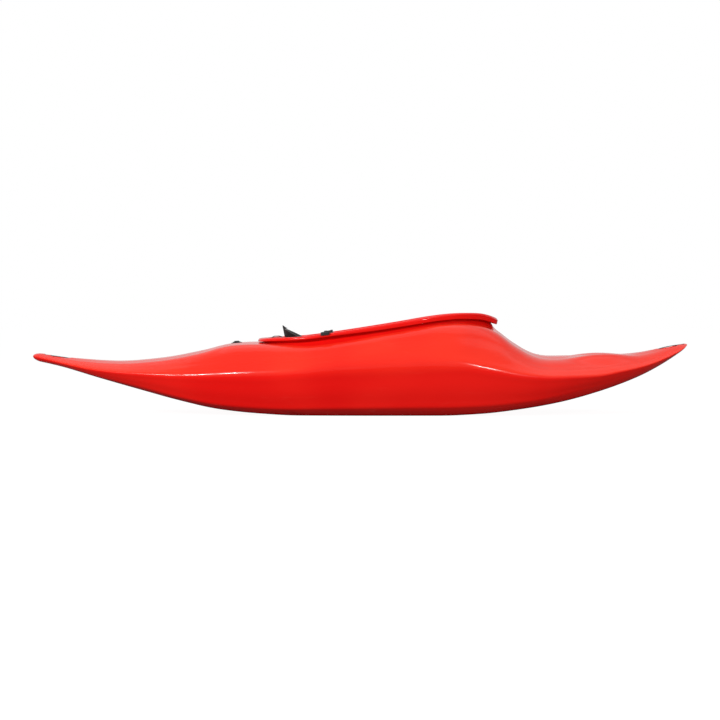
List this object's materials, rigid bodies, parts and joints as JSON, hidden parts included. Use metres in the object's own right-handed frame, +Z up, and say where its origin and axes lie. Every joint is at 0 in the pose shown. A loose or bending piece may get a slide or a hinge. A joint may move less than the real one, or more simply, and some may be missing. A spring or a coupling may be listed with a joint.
{
  "type": "whitewater kayak",
  "caption": "Short whitewater kayak with thin slicing ends, a raised cockpit rim, and an adjustable seat, back band, thigh braces and foot plate.",
  "frame": {"origin": "below the middle of the length, on the flat that the hull stands on", "axes": "+X towards the bow, +Y to port, +Z up"},
  "size_m": [2.3, 0.6402, 0.3511],
  "materials": {
    "hull": "semi-gloss, moulded",
    "moulded_black": "fine texture",
    "knob": "satin",
    "drain": "satin",
    "seal": "matt",
    "pad": "woven over foam",
    "foam": "closed-cell foam",
    "webbing": "woven",
    "rail": "brushed",
    "steel": "brushed"
  },
  "bodies": {
    "hull": {"hull_shell": "hull", "seat_runner_left": "moulded_black", "seat_runner_right": "moulded_black", "seat_hanger_left": "moulded_black", "seat_hanger_right": "moulded_black", "seat_bolt_rear_left": "knob", "seat_bolt_rear_right": "knob", "seat_bolt_front_left": "knob", "seat_bolt_front_right": "knob", "ratchet_body_left": "moulded_black", "ratchet_body_right": "moulded_black", "ratchet_pin_left": "steel", "ratchet_pin_right": "steel", "thigh_mount_left": "moulded_black", "thigh_mount_right": "moulded_black", "thigh_knob_left": "knob", "thigh_knob_right": "knob", "rail_bracket_left": "moulded_black", "rail_bracket_right": "moulded_black", "rail_knob_left": "knob", "rail_knob_right": "knob", "rear_pillar": "foam", "front_pillar": "foam", "drain_insert": "drain", "stern_handle": "moulded_black", "bow_handle": "moulded_black", "stern_handle_screw_aft": "steel", "stern_handle_screw_fore": "steel", "bow_handle_screw_aft": "steel", "bow_handle_screw_fore": "steel"},
    "seat": {"seat_pan": "moulded_black", "seat_pad": "pad", "hip_pad_left": "pad", "hip_pad_right": "pad", "backband_pin_left": "steel", "backband_pin_right": "steel"},
    "leg_lifter": {"leg_lifter": "pad"},
    "backband": {"backband_shell": "moulded_black", "backband_pad": "pad", "backband_loop": "webbing"},
    "strap_left": {"ladder_strap_left": "moulded_black"},
    "strap_right": {"ladder_strap_right": "moulded_black"},
    "lever_left": {"ratchet_lever_left": "knob"},
    "lever_right": {"ratchet_lever_right": "knob"},
    "brace_left": {"thigh_brace_left": "moulded_black", "thigh_pad_left": "pad"},
    "brace_right": {"thigh_brace_right": "moulded_black", "thigh_pad_right": "pad"},
    "foot_brace": {"foot_plate": "moulded_black", "foot_pad": "foam", "foot_rail_left": "rail", "foot_rail_right": "rail"},
    "drain_lift": {"drain_seal": "seal"},
    "drain_turn": {"drain_plug": "drain"}
  },
  "joints": [
    {"name": "seat_slide", "type": "slide", "parent": "hull", "child": "seat", "axis": [1, 0, 0], "range_m": [-0.005, 0.03]},
    {"name": "leg_lifter_tilt", "type": "hinge", "parent": "seat", "child": "leg_lifter", "pos_m": [0.048, 0, 0.0243], "axis": [0, -1, 0], "range_deg": [0, 15]},
    {"name": "backband_tilt", "type": "hinge", "parent": "seat", "child": "backband", "pos_m": [-0.19, 0, 0.14], "axis": [0, 1, 0], "range_deg": [0, 25]},
    {"name": "strap_slide_left", "type": "slide", "parent": "seat", "child": "strap_left", "axis": [1, 0, 0], "range_m": [0, 0.047]},
    {"name": "strap_slide_right", "type": "slide", "parent": "seat", "child": "strap_right", "axis": [1, 0, 0], "range_m": [0, 0.047]},
    {"name": "ratchet_lever_left_open", "type": "hinge", "parent": "hull", "child": "lever_left", "pos_m": [-0.079, 0.176, 0.245], "axis": [0, 0, -1], "range_deg": [0, 55], "stiffness_Nm_per_rad": 0.05, "springref_deg": -11.46},
    {"name": "ratchet_lever_right_open", "type": "hinge", "parent": "hull", "child": "lever_right", "pos_m": [-0.079, -0.176, 0.245], "axis": [0, 0, 1], "range_deg": [0, 55], "stiffness_Nm_per_rad": 0.05, "springref_deg": -11.46},
    {"name": "thigh_brace_slide_left", "type": "slide", "parent": "hull", "child": "brace_left", "axis": [0.9859, 0, 0.1671], "range_m": [-0.02, 0.02]},
    {"name": "thigh_brace_slide_right", "type": "slide", "parent": "hull", "child": "brace_right", "axis": [0.9859, 0, 0.1671], "range_m": [-0.02, 0.02]},
    {"name": "foot_plate_slide", "type": "slide", "parent": "hull", "child": "foot_brace", "axis": [1, 0, 0], "range_m": [-0.1, 0.04]},
    {"name": "drain_lift_slide", "type": "slide", "parent": "hull", "child": "drain_lift", "axis": [-0.0847, -0.0156, 0.9963], "range_m": [0, 0.006]},
    {"name": "drain_plug_turn", "type": "hinge", "parent": "drain_lift", "child": "drain_turn", "pos_m": [-0.437, 0.045, 0.24531], "axis": [-0.0847, -0.0156, 0.9963], "range_deg": [0, 720.1]}
  ],
  "couplings": [
    {"joint": "strap_slide_left", "follows": "backband_tilt", "m_per_rad": 0.107},
    {"joint": "strap_slide_right", "follows": "backband_tilt", "m_per_rad": 0.107},
    {"joint": "drain_plug_turn", "follows": "drain_lift_slide", "rad_per_m": 2094.4}
  ]
}
